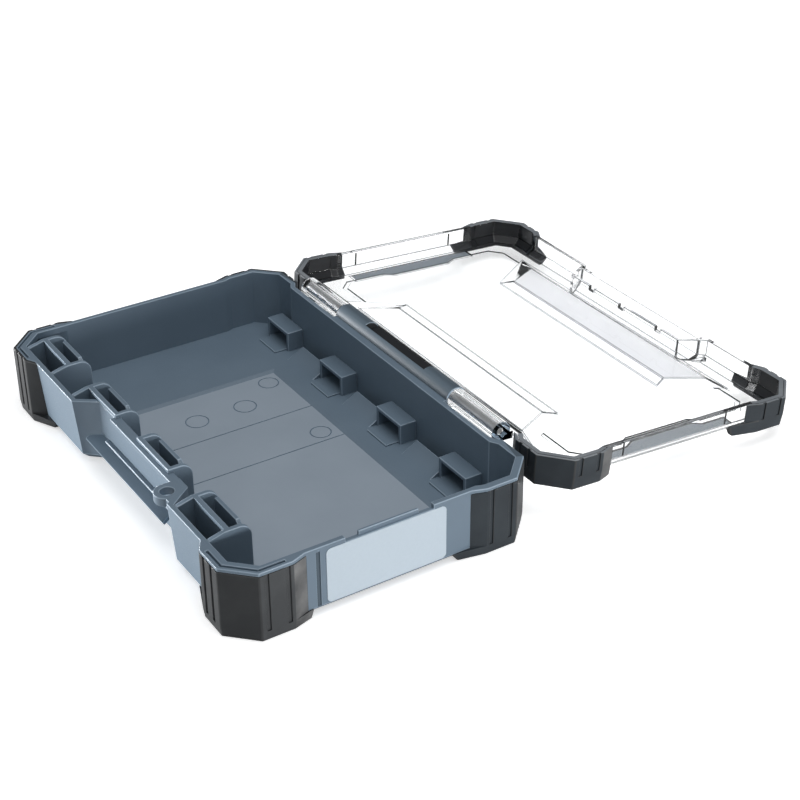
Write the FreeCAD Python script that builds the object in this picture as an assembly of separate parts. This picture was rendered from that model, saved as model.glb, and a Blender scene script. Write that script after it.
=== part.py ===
"""Accessory storage case, shown open.

A shallow plastic tray with rubber corners carries a clear lid on two steel hinge pins.
Four click clips stand along the front wall, and four sockets along the hinge wall face them.

Frame: X runs along the hinge, -Y is the front with the finger recess, +Z is up.  Millimetres.
The pieces are drawn about the middle of the tray's plan, on the plane of its rubber feet, and then
moved so that the origin lies under the middle of the hinge, on that plane.
"""
import FreeCAD
import Part
import math
import os

V = FreeCAD.Vector

# The whole case, measured over the rubber corners
case_length = 225.0
case_width = 141.8
tray_height = 32.2
side_set_back = 2.5
front_set_back = 3.5
corner_chamfer = 11.8
corner_reach_x = 32.0
corner_reach_y = 33.6
corner_ease_x = 6.0
corner_ease_y = 7.0
overrun = 1.0

# Rubber corners
bumper_skin = 1.3
bumper_foot_width = 8.0
bumper_foot_set_in = 0.6
bumper_toe = 8.5
bumper_toe_low = 5.0
front_side_toe = 2.6
front_side_toe_low = 1.6
bumper_groove_width = 1.6
bumper_groove_depth = 0.6
front_groove_shares = (0.34, 0.76)
side_groove_shares = (0.16, 0.78)

# Tray walls and floor
tray_wall = 2.4
floor_clearance = 1.2
floor_thickness = 2.8
bottom_bevel = 3.3
front_draft = 2.2
rim_lip_depth = 1.6
rim_lip_set_back = 0.3
corner_ledge_chamfer = 9.0
corner_ledge_depth = 3.0
rim_groove_start_x = 8.0
rim_groove_start_y = 9.4
rim_groove_set_in = 0.6
rim_groove_width = 1.1
rim_groove_depth = 1.4
floor_panel_sink = 0.8
floor_panel_bevel = 2.0
floor_panel_left_gap = 45.6
floor_panel_right_gap = 11.6
floor_panel_front_gap = 2.6
floor_panel_rear_gap = 7.2
floor_line_width = 0.5
floor_line_depth = 0.3
floor_line_shares = (0.24, 0.427)
stamp_radius = 5.5
stamp_ring_width = 0.5
stamp_depth = 0.25
stamp_shares = ((0.139, 0.394), (0.139, 0.678))
ejector_radius = 5.0
ejector_shares = ((0.057, 0.902), (0.383, 0.885))

# Right-hand rim: a set-in lip between two notches
side_lip_half = 13.8
side_notch_width = 6.4
side_notch_depth = 2.0
side_lip_step = 1.1

# Front finger recess and its grip rail
recess_depth = 9.8
recess_mouth_left = 41.5
recess_mouth_right = 52.0
recess_back_left = 34.5
recess_back_right = 45.0
catch_lip_left_gap = 15.5
catch_lip_right_gap = 5.0
catch_lip_depth = 2.0
catch_lip_height = 2.2
rail_depth = 8.0
rail_top = 16.2
rail_skin = 2.2
rail_undercut = 1.4
rail_left_gap = 0.8
rail_right_gap = 9.0
rail_round = 3.0
rail_bead_left_gap = 7.5
rail_bead_width = 2.2
rail_bead_rise = 0.9

# Corner eye beside the recess
eye_mouth_gap = 8.1
eye_set_in = 4.1
eye_radius = 3.0
eye_boss_radius = 5.6
eye_plate_depth = 4.0
eye_plate_side_lap = 0.7
eye_plate_back_lap = 2.6
eye_plate_end_lap = 2.0

# Click clips along the front wall
clip_count = 4
clip_row_left_gap = 9.6
clip_row_right_gap = 23.6
clip_gap = 25.3
clip_rib = 2.3
clip_rise = 1.9
clip_flat = 5.6
clip_hump_radius = 5.4
tongue_slot = 5.6
tongue_thickness = 2.0
tongue_side_gap = 1.75
tongue_drop = 0.2
tongue_chamfer = 4.0
tongue_foot_gap = 0.2
tongue_bead_radius = 0.8
tongue_bead_drop = 4.0

# Sockets, floor tabs and ramps along the hinge wall
socket_width = 20.4
socket_height = 10.0
socket_depth = 8.4
socket_wall = 1.8
tab_width = 16.0
tab_length = 6.4
tab_rise = 0.8
ramp_gap = 6.5
ramp_depth = 8.6
ramp_rise = 4.7
ramp_wall_gap = 3.9

# Hinge
hinge_reach = 6.42
hinge_drop = 0.49
sleeve_radius = 5.15
sleeve_half = 46.5
sleeve_web_depth = 5.0
sleeve_slot_half = 24.5
sleeve_slot_front = 2.2
sleeve_slot_floor = 1.9
pin_radius = 1.5
pin_hold = 16.5
pin_fit = 0.02
pin_running_clearance = 0.08
pin_chamfer = 0.4
knuckle_radius = 4.8
knuckle_side_gap = 0.5
knuckle_corner_gap = 0.6
knuckle_cap = 1.4
knuckle_arm_gap = 0.4
knuckle_arm_height = 3.6
stop_nose_radius = 1.2
stop_nose_length = 9.0
stop_gap = 0.15
stop_angle = 31.0
open_angle = 183.9

# Clear lid
seam_gap = 0.3
lid_rise = 12.5
lid_wall = 2.2
lid_panel = 1.8
lid_bevel = 4.0
lid_inner_bevel = 3.0
lid_bumper_proud = 2.2
lid_foot_width = 3.4
lid_front_set_back = 2.9
fence_wall = 1.8
fence_clearance = 0.8
fence_side_shift = 0.5
fence_notch_room = 0.6
pad_depth = 1.0
pad_outer_gap = 9.2
pad_length = 27.4
pad_inner_half = 62.0
pad_outer_half = 80.0
pad_inner_slope = 6.4
pad_outer_slope = 3.0
pad_inner_side_slope = 3.0
pad_outer_side_slope = 12.0
field_line_width = 2.2
field_line_depth = 0.5
field_side_gap = 9.8
field_front_gap = 12.7
field_rear_gap = 17.8
field_chamfer = 6.0
field_waist_half = 17.0
field_waist_shift = -2.0
field_waist_step = 2.7
field_waist_ease = 5.0
side_pad_inner_gap = 12.8
side_pad_outer_gap = 3.5
side_pad_end_gap = 0.9
side_pad_depth = 0.6
side_pad_slope = 1.0

# Side label, and the groove in the wall in front of it
label_thickness = 0.2
label_front_gap = 8.3
label_rear_gap = 11.3
label_low_gap = 0.4
label_top_gap = 0.2
label_round = 2.2
wall_groove_gap = 2.6
wall_groove_width = 1.8
wall_groove_depth = 0.5

# Places worked out from the sizes above
end_x = case_length / 2
end_y = case_width / 2
side_face = end_x - side_set_back
front_face = end_y - front_set_back
corner_start_x = end_x - corner_reach_x
corner_start_y = end_y - corner_reach_y
floor_top = floor_clearance + floor_thickness
wall_low = floor_clearance + bottom_bevel
recess_back = front_face - recess_depth
web_back = recess_back - tray_wall
wall_inside_x = side_face - tray_wall
wall_inside_y = front_face - tray_wall
eye_x = recess_mouth_right - eye_mouth_gap
eye_y = -front_face + eye_set_in
rib_top = tray_height + clip_rise
rib_end = recess_back - clip_flat - clip_hump_radius
tongue_front = web_back - tongue_slot
tongue_middle = tongue_front - tongue_thickness / 2
tongue_pivot_z = floor_top + tongue_foot_gap + tongue_thickness / 2
socket_front = wall_inside_y - socket_depth
hinge_y = front_face + hinge_reach
hinge_z = tray_height - hinge_drop
knuckle_start = sleeve_half + knuckle_side_gap
knuckle_end = corner_start_x - knuckle_corner_gap
pin_end = knuckle_end - knuckle_cap
lid_low = tray_height + seam_gap
lid_top = lid_low + lid_rise
lid_inside = lid_top - lid_panel
clip_half = clip_gap / 2 + clip_rib
clip_first = -wall_inside_x + clip_row_left_gap + clip_half
clip_last = wall_inside_x - clip_row_right_gap - clip_half
clip_pitch = (clip_last - clip_first) / (clip_count - 1)
clip_centres = [clip_first + i * clip_pitch for i in range(clip_count)]
rib_offset = (clip_gap + clip_rib) / 2
label_front = -corner_start_y + label_front_gap
side_wall_top = tray_height - side_notch_depth
floor_panel_left = -wall_inside_x + floor_panel_left_gap
floor_panel_right = wall_inside_x - floor_panel_right_gap
floor_panel_front = -rib_end + floor_panel_front_gap
floor_panel_rear = socket_front - tab_length - floor_panel_rear_gap
corners = {"front_left": (-1, -1), "front_right": (1, -1), "rear_left": (-1, 1), "rear_right": (1, 1)}


def polygon_wire(points, z):
    """A closed wire through plan points at one height."""
    ring = [V(x, y, z) for x, y in points]
    return Part.makePolygon(ring + ring[:1])


def prism(points, low, high):
    """A straight-sided solid over a plan outline."""
    return Part.Face(polygon_wire(points, low)).extrude(V(0, 0, high - low))


def frustum(points_low, low, points_high, high):
    """A solid whose flat sides join two outlines with the same number of points."""
    lower = [V(x, y, low) for x, y in points_low]
    upper = [V(x, y, high) for x, y in points_high]
    faces = [Part.Face(polygon_wire(points_low, low)), Part.Face(polygon_wire(points_high, high))]
    for i in range(len(lower)):
        for corner in ((lower[i - 1], lower[i], upper[i]), (lower[i - 1], upper[i], upper[i - 1])):
            faces.append(Part.Face(Part.makePolygon(corner + corner[:1])))
    solid = Part.Solid(Part.Shell(faces))
    if solid.Volume < 0:
        solid.reverse()
    return solid.removeSplitter()


def block(x0, x1, y0, y1, z0, z1):
    """A box between two corners."""
    return Part.makeBox(x1 - x0, y1 - y0, z1 - z0, V(x0, y0, z0))


def rod(radius, x0, x1, y, z):
    """A round bar along X."""
    return Part.makeCylinder(radius, x1 - x0, V(x0, y, z), V(1, 0, 0))


def side_plate(edges, x0, x1):
    """A plate of a Y-Z profile, from x0 to x1.  The profile's edges are drawn at x = 0."""
    plate = Part.Face(Part.Wire(edges)).extrude(V(x1 - x0, 0, 0))
    plate.translate(V(x0, 0, 0))
    return plate


def yz_polygon(points):
    """Straight edges through Y-Z points, closed."""
    ring = [V(0, y, z) for y, z in points]
    return Part.makePolygon(ring + ring[:1]).Edges


def inset(points, distance):
    """A counter-clockwise outline moved inwards by a distance, with mitred corners."""
    moved = []
    count = len(points)
    for i, (x, y) in enumerate(points):
        before = V(x - points[i - 1][0], y - points[i - 1][1], 0).normalize()
        after = V(points[(i + 1) % count][0] - x, points[(i + 1) % count][1] - y, 0).normalize()
        side = V(-before.y, before.x, 0) + V(-after.y, after.x, 0)
        scale = distance / (1 + before.dot(after))
        moved.append((x + side.x * scale, y + side.y * scale))
    return moved


def corner_points(skin, draft):
    """One corner of the plan in the +X +Y quarter, from the side wall to the end of its long wall.

    It is set in by skin from the rubber's face, and eases out to it from both walls.  The long wall's
    face is set in by draft.
    """
    x = end_x - skin
    y = end_y - skin
    chamfer = corner_chamfer - skin * (2 - math.sqrt(2))
    first_y = corner_start_y + skin * math.hypot(side_set_back, corner_ease_y) / side_set_back
    first_x = corner_start_x + skin * math.hypot(front_set_back, corner_ease_x) / front_set_back
    return [
        (side_face, first_y),
        (x, first_y + (x - side_face) * corner_ease_y / side_set_back),
        (x, y - chamfer),
        (x - chamfer, y),
        (first_x + (y - front_face) * corner_ease_x / front_set_back, y),
        (first_x, front_face - draft),
    ]


def case_outline(skin, draft, front_points):
    """The whole plan outline, counter-clockwise, with front_points between the two front corners."""
    rear = corner_points(skin, 0)
    front = corner_points(skin, draft)
    rear_left = [(-x, y) for x, y in reversed(rear)]
    front_left = [(-x, -y) for x, y in front]
    front_right = [(x, -y) for x, y in reversed(front)]
    return rear + rear_left + front_left + front_points + front_right


def tray_outline(skin, draft):
    """The tray's plan with its finger recess, whose front face is set in by draft."""
    mouth = -front_face + draft
    recess = [
        (-recess_mouth_left, mouth),
        (-recess_back_left, -recess_back),
        (recess_back_right, -recess_back),
        (recess_mouth_right, mouth),
    ]
    return case_outline(skin, draft, recess)


def lid_outline():
    """The lid's plan, with a shallow step in its front wall over the finger recess."""
    step = [
        (-recess_mouth_left, -front_face),
        (-recess_mouth_left + lid_front_set_back, -front_face + lid_front_set_back),
        (recess_mouth_right - lid_front_set_back, -front_face + lid_front_set_back),
        (recess_mouth_right, -front_face),
    ]
    return case_outline(bumper_skin, 0, step)


def tray_block():
    """The tray's outside as one closed solid: bevelled foot, wall and a lip over the right-hand rubber."""
    low_outline = tray_outline(bumper_skin, front_draft)
    foot = frustum(inset(low_outline, bottom_bevel), floor_clearance, low_outline, wall_low)
    wall = frustum(low_outline, wall_low, tray_outline(bumper_skin, 0), tray_height)
    lip_low = tray_height - rim_lip_depth
    lip_zones = [corner_zone(1, side_y, lip_low, tray_height) for side_y in (-1, 1)]
    lip = prism(tray_outline(rim_lip_set_back, 0), lip_low, tray_height)
    return foot.fuse([wall] + [lip.common(zone) for zone in lip_zones])


def tray_cavity():
    """The hollow inside the tray's walls, above its floor."""
    low = inset(tray_outline(bumper_skin, front_draft), tray_wall)
    high = inset(tray_outline(bumper_skin, 0), tray_wall)
    return frustum(low, floor_top, high, tray_height).fuse(prism(high, tray_height, tray_height + overrun))


def corner_zone(side_x, side_y, low, high, past_x=0, past_y=0):
    """A box over one corner of the case, from a little past the start of its rubber."""
    xs = sorted((side_x * (corner_start_x + past_x), side_x * (end_x + overrun)))
    ys = sorted((side_y * (corner_start_y + past_y), side_y * (end_y + overrun)))
    return block(xs[0], xs[1], ys[0], ys[1], low, high)


def rim_ring(outer_inset, inner_inset, low, high):
    """A ring between two insets of the tray's outline."""
    outline = tray_outline(bumper_skin, 0)
    return prism(inset(outline, outer_inset), low, high).cut(prism(inset(outline, inner_inset), low, high))


def corner_ledges():
    """The wide rims of the two front corners, flush with the inner faces of the straight walls."""
    low = tray_height - corner_ledge_depth
    start_x = wall_inside_x - corner_ledge_chamfer
    start_y = wall_inside_y - corner_ledge_chamfer
    right = [(start_x, -wall_inside_y), (wall_inside_x, -start_y), (wall_inside_x, 0)]
    room = right + [(-x, y) for x, y in reversed(right)]
    hollow = prism(inset(tray_outline(bumper_skin, 0), tray_wall), low, tray_height)
    rim = hollow.cut(prism(room, low, tray_height))
    return [rim.common(corner_zone(side_x, -1, low, tray_height)) for side_x in (-1, 1)]


def corner_rim_grooves():
    """The grooves that split the rims of the two front corners into double lips."""
    low = tray_height - rim_groove_depth
    high = tray_height + overrun
    ring = rim_ring(rim_groove_set_in, rim_groove_set_in + rim_groove_width, low, high)
    start = (rim_groove_start_x, rim_groove_start_y)
    return [ring.common(corner_zone(side_x, -1, low, high, *start)) for side_x in (-1, 1)]


def floor_panel():
    """The sunk middle of the floor, with bevelled edges."""
    outline = [
        (floor_panel_left, floor_panel_front),
        (floor_panel_right, floor_panel_front),
        (floor_panel_right, floor_panel_rear),
        (floor_panel_left, floor_panel_rear),
    ]
    return frustum(inset(outline, floor_panel_bevel), floor_top - floor_panel_sink, outline, floor_top)


def across_floor(share):
    """The X place at a share of the floor panel's length, from its left end."""
    return floor_panel_left + share * (floor_panel_right - floor_panel_left)


def along_floor(share):
    """The Y place at a share of the floor panel's width, from its front edge."""
    return floor_panel_front + share * (floor_panel_rear - floor_panel_front)


def ring_mark(shares, radius):
    """A shallow ring pressed into the floor panel at two shares of its plan."""
    low = floor_top - floor_panel_sink - stamp_depth
    centre = V(across_floor(shares[0]), along_floor(shares[1]), low)
    height = floor_top + overrun - low
    outer = Part.makeCylinder(radius, height, centre)
    return outer.cut(Part.makeCylinder(radius - stamp_ring_width, height, centre))


def floor_marks():
    """Fine lines and plain rings left in the floor panel by the mould."""
    low = floor_top - floor_panel_sink - floor_line_depth
    front = floor_panel_front + floor_panel_bevel
    rear = floor_panel_rear - floor_panel_bevel
    lines = [
        block(across_floor(share), across_floor(share) + floor_line_width, front, rear, low, floor_top)
        for share in floor_line_shares
    ]
    stamps = [ring_mark(shares, stamp_radius) for shares in stamp_shares]
    ejectors = [ring_mark(shares, ejector_radius) for shares in ejector_shares]
    return lines + stamps + ejectors


def side_rim_cuts():
    """The notches in the right-hand rim, and the step outside the lip between them."""
    low = side_wall_top
    high = tray_height + overrun
    inner = wall_inside_x - overrun
    outer = side_face + overrun
    cuts = [block(side_face - side_lip_step, outer, -side_lip_half, side_lip_half, low, high)]
    for end in (-1, 1):
        ys = sorted((end * side_lip_half, end * (side_lip_half + side_notch_width)))
        cuts.append(block(inner, outer, ys[0], ys[1], low, high))
    return cuts


def side_wall_groove():
    """The upright groove in the right-hand wall, in front of the label."""
    rear = label_front - wall_groove_gap
    return block(
        side_face - wall_groove_depth, side_face + overrun, rear - wall_groove_width, rear,
        wall_low, side_wall_top,
    )


def clip_rib_plate(x):
    """One rib of a click clip: up from the front wall's rim, over a hump and down to the floor."""
    turn_y = -rib_end - clip_hump_radius
    turn_z = rib_top - clip_hump_radius
    bend = clip_hump_radius * math.sqrt(0.5)
    straight = [
        (-rib_end, turn_z),
        (-rib_end, floor_top),
        (-wall_inside_y, floor_top),
        (-wall_inside_y, tray_height),
        (-recess_back, rib_top),
        (turn_y, rib_top),
    ]
    edges = [
        Part.makeLine(V(0, *straight[i]), V(0, *straight[i + 1]))
        for i in range(len(straight) - 1)
    ]
    middle = V(0, turn_y + bend, turn_z + bend)
    edges.append(Part.Arc(V(0, turn_y, rib_top), middle, V(0, -rib_end, turn_z)).toShape())
    return side_plate(edges, x - clip_rib / 2, x + clip_rib / 2)


def clip_frame(x, shell):
    """Two ribs and the web of one click clip, kept inside the tray's outline and outside its shell."""
    ribs = [clip_rib_plate(x - rib_offset), clip_rib_plate(x + rib_offset)]
    web = block(x - rib_offset, x + rib_offset, -recess_back, -web_back, floor_top, rib_top)
    inside = tray_block().fuse(prism(tray_outline(bumper_skin, 0), tray_height, rib_top))
    return web.fuse(ribs).common(inside).cut(shell).removeSplitter()


def rear_socket(x):
    """A socket on the hinge wall, open to the front, on a floor plate that ends in a narrower tab."""
    half = socket_width / 2
    high = floor_top + socket_height
    plate_high = floor_top + tab_rise
    case = block(x - half, x + half, socket_front, wall_inside_y, floor_top, high)
    room = half - socket_wall
    hollow = block(
        x - room, x + room, socket_front - overrun, wall_inside_y, plate_high, high - socket_wall
    )
    tab = block(
        x - tab_width / 2, x + tab_width / 2, socket_front - tab_length, socket_front, floor_top, plate_high
    )
    return case.cut(hollow).fuse(tab).removeSplitter()


def ramp(left_x, right_x):
    """A sloped rest between two sockets, standing a little off the hinge wall."""
    rear = wall_inside_y - ramp_wall_gap
    low = floor_top - floor_thickness / 2
    profile = [
        (rear - ramp_depth, low),
        (rear, low),
        (rear, floor_top + ramp_rise),
        (rear - ramp_depth, floor_top),
    ]
    return side_plate(yz_polygon(profile), left_x, right_x)


def ramp_row():
    """The three ramps between the sockets."""
    half = socket_width / 2
    pairs = zip(clip_centres, clip_centres[1:])
    return [ramp(left + half + ramp_gap, right - half) for left, right in pairs]


def eye_plate():
    """The plate at rim height beside the recess, round the eye's edge and flat to the front wall."""
    low = tray_height - eye_plate_depth
    boss = Part.makeCylinder(eye_boss_radius, eye_plate_depth, V(eye_x, eye_y, low))
    wall_middle = -front_face + tray_wall / 2
    plate_end = recess_mouth_right + eye_plate_end_lap
    back_y = -recess_back + eye_plate_back_lap
    outline = [
        (eye_x, wall_middle),
        (plate_end, wall_middle),
        (plate_end, -wall_inside_y),
        (recess_back_right + eye_plate_side_lap, back_y),
        (eye_x - eye_boss_radius, back_y),
        (eye_x - eye_boss_radius, eye_y),
    ]
    return prism(outline, low, tray_height).fuse(boss)


def eye_hole():
    """The upright hole through the plate."""
    low = tray_height - eye_plate_depth - overrun
    return Part.makeCylinder(eye_radius, eye_plate_depth + 2 * overrun, V(eye_x, eye_y, low))


def catch_lip():
    """The lip that overhangs the back of the recess at rim height."""
    left = -recess_back_left + catch_lip_left_gap
    right = recess_back_right - catch_lip_right_gap
    low = tray_height - catch_lip_height
    rear = -recess_back + tray_wall / 2
    return block(left, right, -recess_back - catch_lip_depth, rear, low, tray_height)


def hinge_sleeve():
    """The tray's hinge sleeve on the rear wall, before its bores and its slot are cut."""
    sleeve = rod(sleeve_radius, -sleeve_half, sleeve_half, hinge_y, hinge_z)
    web = block(
        -sleeve_half, sleeve_half, wall_inside_y + tray_wall / 2, hinge_y,
        hinge_z - sleeve_web_depth, tray_height,
    )
    return web.fuse(sleeve)


def hinge_sleeve_cuts():
    """The pin bores of the sleeve, and the slot that opens its top towards the lid."""
    bore = pin_radius + pin_fit
    inner = sleeve_half - pin_hold
    slot = block(
        -sleeve_slot_half, sleeve_slot_half,
        hinge_y - sleeve_slot_front, hinge_y + sleeve_radius + overrun,
        hinge_z + sleeve_slot_floor, hinge_z + sleeve_radius + overrun,
    )
    return [
        rod(bore, inner, sleeve_half + overrun, hinge_y, hinge_z),
        rod(bore, -sleeve_half - overrun, -inner, hinge_y, hinge_z),
        slot,
    ]


def tray_shell():
    """The moulded tray with its floor marks, ramps, eye and hinge sleeve."""
    shell = tray_block().cut(tray_cavity())
    shell = shell.fuse(corner_ledges() + ramp_row())
    shell = shell.fuse([eye_plate(), catch_lip(), hinge_sleeve()])
    shell = shell.cut([floor_panel(), eye_hole(), side_wall_groove()])
    shell = shell.cut(corner_rim_grooves() + side_rim_cuts())
    shell = shell.cut(floor_marks() + hinge_sleeve_cuts())
    return shell.removeSplitter()


def band_outline(side_toe, end_toe, set_in, draft, width):
    """The plan of one rubber corner in the +X +Y quarter, with the band that it turns under the case.

    Its ends reach past the ends of the upper rubber by side_toe along the side wall and by end_toe along
    the front or rear wall.  Its edge is moved in by set_in, and the band reaches in by width from the walls.
    """
    outer = corner_points(set_in, draft)
    outer[0] = (side_face - set_in, corner_start_y - side_toe)
    outer[-1] = (corner_start_x - end_toe, front_face - draft - set_in)
    foot_x = side_face - width
    foot_y = front_face - width
    return outer + [
        (corner_start_x - end_toe, foot_y),
        (foot_x - corner_chamfer / 2, foot_y),
        (foot_x, foot_y - corner_chamfer / 2),
        (foot_x, corner_start_y - side_toe),
    ]


def bumper_grooves(low, high):
    """Upright grooves in the two straight faces of a rubber corner."""
    outer = corner_points(0, 0)
    cuts = []
    for share in side_groove_shares:
        y = outer[1][1] + share * (outer[2][1] - outer[1][1])
        cuts.append(block(
            end_x - bumper_groove_depth, end_x + overrun,
            y - bumper_groove_width / 2, y + bumper_groove_width / 2, low, high,
        ))
    for share in front_groove_shares:
        x = outer[3][0] + share * (outer[4][0] - outer[3][0])
        cuts.append(block(
            x - bumper_groove_width / 2, x + bumper_groove_width / 2,
            end_y - bumper_groove_depth, end_y + overrun, low, high,
        ))
    return cuts


def at_corner(shape, side_x, side_y):
    """The +X +Y piece mirrored to another corner."""
    placed = shape.copy()
    if side_x < 0:
        placed = placed.mirror(V(0, 0, 0), V(1, 0, 0))
    if side_y < 0:
        placed = placed.mirror(V(0, 0, 0), V(0, 1, 0))
    return placed


def tray_bumper(side_x, side_y):
    """One rubber corner of the tray: a skin outside the wall that turns under it as a foot with toes.

    The right-hand ones end under the rim lip, and the left-hand ones reach the rim.  The front ones have
    short toes along the side walls.
    """
    draft = front_draft if side_y < 0 else 0
    high = tray_height - rim_lip_depth if side_x > 0 else tray_height
    width = bumper_foot_width
    side_toe = front_side_toe if side_y < 0 else bumper_toe
    side_toe_low = front_side_toe_low if side_y < 0 else bumper_toe_low
    sole = band_outline(side_toe_low, bumper_toe_low, bumper_foot_set_in, draft, width)
    foot = frustum(sole, 0, band_outline(side_toe, bumper_toe, 0, draft, width), wall_low)
    skin = frustum(band_outline(0, 0, 0, draft, width), wall_low, band_outline(0, 0, 0, 0, width), high)
    blank = foot.fuse(skin).cut(bumper_grooves(wall_low, high))
    return at_corner(blank, side_x, side_y).cut(tray_block()).removeSplitter()


def lid_block():
    """The lid's outside, closed, as one solid with a bevelled top edge."""
    outline = lid_outline()
    wall = prism(outline, lid_low, lid_top - lid_bevel)
    edge = frustum(outline, lid_top - lid_bevel, inset(outline, lid_bevel), lid_top)
    return wall.fuse(edge)


def lid_bumper(side_x, side_y):
    """One rubber corner of the lid, a little proud of its panel.  The front ones have toes."""
    toe = bumper_toe if side_y < 0 else 0
    toe_end = bumper_toe_low if side_y < 0 else 0
    turn = lid_top - lid_bevel
    skin = prism(band_outline(0, 0, 0, 0, lid_foot_width), lid_low, turn)
    sole = band_outline(toe_end, toe_end, bumper_foot_set_in, 0, lid_foot_width)
    foot = frustum(band_outline(toe, toe, 0, 0, lid_foot_width), turn, sole, lid_top + lid_bumper_proud)
    blank = skin.fuse(foot).cut(bumper_grooves(lid_low, turn))
    return at_corner(blank, side_x, side_y).cut(lid_block()).cut(lid_cavity()).removeSplitter()


def lid_cavity():
    """The hollow inside the lid, bevelled along the panel's edge."""
    outline = inset(lid_outline(), lid_wall)
    turn = lid_inside - lid_inner_bevel
    edge = frustum(outline, turn, inset(outline, lid_inner_bevel), lid_inside)
    return prism(outline, lid_low - overrun, turn).fuse(edge)


def field_outline():
    """The outer edge of the line round the lid's panel, counter-clockwise, with a waist at each side."""
    side = side_face - lid_wall - field_side_gap
    front = -front_face + lid_wall + field_front_gap
    rear = front_face - lid_wall - field_rear_gap
    waist_front = field_waist_shift - field_waist_half
    waist_rear = field_waist_shift + field_waist_half
    right = [
        (side - field_chamfer, front),
        (side, front + field_chamfer),
        (side, waist_front - field_waist_ease),
        (side - field_waist_step, waist_front),
        (side - field_waist_step, waist_rear),
        (side, waist_rear + field_waist_ease),
        (side, rear - field_chamfer),
        (side - field_chamfer, rear),
    ]
    return right + [(-x, y) for x, y in reversed(right)]


def field_line():
    """The shallow groove along the edge of the panel's field, broken by the tapered pads."""
    high = lid_inside + field_line_depth
    low = lid_inside - overrun
    outline = field_outline()
    ring = prism(outline, low, high).cut(prism(inset(outline, field_line_width), low, high))
    return ring.cut([prism(pad_plan(side), low, high) for side in (-1, 1)])


def side_pad(side):
    """The shallow hollow beside the panel's field, on side -1 or 1, which widens into the field's waist."""
    waist_x = side_face - lid_wall - side_pad_inner_gap
    inner = waist_x + field_waist_step
    outer = side_face - lid_wall - side_pad_outer_gap
    end = corner_start_y - side_pad_end_gap
    waist_front = field_waist_shift - field_waist_half
    waist_rear = field_waist_shift + field_waist_half
    outline = [
        (inner, -end),
        (outer, -end),
        (outer, end),
        (inner, end),
        (inner, waist_rear + field_waist_ease),
        (waist_x, waist_rear),
        (waist_x, waist_front),
        (inner, waist_front - field_waist_ease),
    ]
    hollow = frustum(inset(outline, side_pad_slope), lid_top - side_pad_depth, outline, lid_top)
    return hollow if side > 0 else hollow.mirror(V(0, 0, 0), V(1, 0, 0))


def pad_outline(inner_y, outer_y, inner_half, outer_half, side):
    """A trapezium that widens towards the front (side -1) or the hinge (side 1), counter-clockwise."""
    points = [(-inner_half, inner_y), (inner_half, inner_y), (outer_half, outer_y), (-outer_half, outer_y)]
    if side > 0:
        return points
    return [(x, -y) for x, y in reversed(points)]


def pad_plan(side):
    """The wide outline of one tapered pad."""
    outer_y = front_face - lid_wall - pad_outer_gap
    return pad_outline(outer_y - pad_length, outer_y, pad_inner_half, pad_outer_half, side)


def panel_pad(side, inner_z):
    """A shallow tapered pad on the lid's panel.  inner_z is the height of its wide face."""
    outer_y = front_face - lid_wall - pad_outer_gap
    inner_y = outer_y - pad_length
    flat_inner_half = pad_inner_half - pad_inner_side_slope
    flat_outer_half = pad_outer_half - pad_outer_side_slope
    flat = pad_outline(
        inner_y + pad_inner_slope, outer_y - pad_outer_slope, flat_inner_half, flat_outer_half, side
    )
    return frustum(flat, inner_z - pad_depth, pad_plan(side), inner_z)


def lid_fence():
    """The upright fence inside the lid that follows the tray's recess, notched over the clips."""
    fence_y = -web_back + fence_clearance
    mouth_y = -front_face + lid_wall / 2
    room = [
        (-recess_mouth_left + fence_side_shift, mouth_y),
        (recess_mouth_right + fence_side_shift, mouth_y),
        (recess_back_right + fence_side_shift, fence_y),
        (-recess_back_left + fence_side_shift, fence_y),
    ]
    high = lid_inside + lid_panel / 2
    fence = prism(inset(room, -fence_wall), lid_low, high).cut(prism(room, lid_low, high))
    keep = block(-end_x, end_x, mouth_y, 0, lid_low, high)
    return fence.common(keep).cut([clip_room(x) for x in clip_centres])


def clip_room(x):
    """The room that the fence leaves round the ribs and the web of one clip."""
    low = lid_low - overrun
    high = rib_top + fence_notch_room
    half = clip_rib / 2 + fence_notch_room
    front = -recess_back - fence_notch_room
    rear = -rib_end + fence_notch_room
    ribs = [
        block(x + side * rib_offset - half, x + side * rib_offset + half, front, rear, low, high)
        for side in (-1, 1)
    ]
    web = block(x - rib_offset, x + rib_offset, front, -web_back + fence_notch_room, low, high)
    return web.fuse(ribs)


def knuckle(side):
    """One clear hinge knuckle with its arm to the lid's rear wall and a stop nose, on side -1 or 1."""
    xs = sorted((side * knuckle_start, side * knuckle_end))
    nose_xs = sorted((side * knuckle_start, side * (knuckle_start + stop_nose_length)))
    bore_xs = sorted((side * (knuckle_start - overrun), side * (pin_end + pin_running_clearance)))
    barrel = rod(knuckle_radius, xs[0], xs[1], hinge_y, hinge_z)
    arm_low = tray_height + knuckle_arm_gap
    arm = block(xs[0], xs[1], front_face - lid_wall / 2, hinge_y, arm_low, arm_low + knuckle_arm_height)
    reach = (hinge_reach - stop_gap - stop_nose_radius) / math.cos(math.radians(stop_angle))
    turn = stop_angle + open_angle - 180
    nose = block(
        nose_xs[0], nose_xs[1], hinge_y, hinge_y + reach,
        hinge_z - stop_nose_radius, hinge_z + stop_nose_radius,
    )
    nose = nose.fuse(rod(stop_nose_radius, nose_xs[0], nose_xs[1], hinge_y + reach, hinge_z))
    nose.rotate(V(0, hinge_y, hinge_z), V(1, 0, 0), turn)
    bore = rod(pin_radius + pin_running_clearance, bore_xs[0], bore_xs[1], hinge_y, hinge_z)
    return barrel.fuse([arm, nose]).cut(bore), bore


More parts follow.
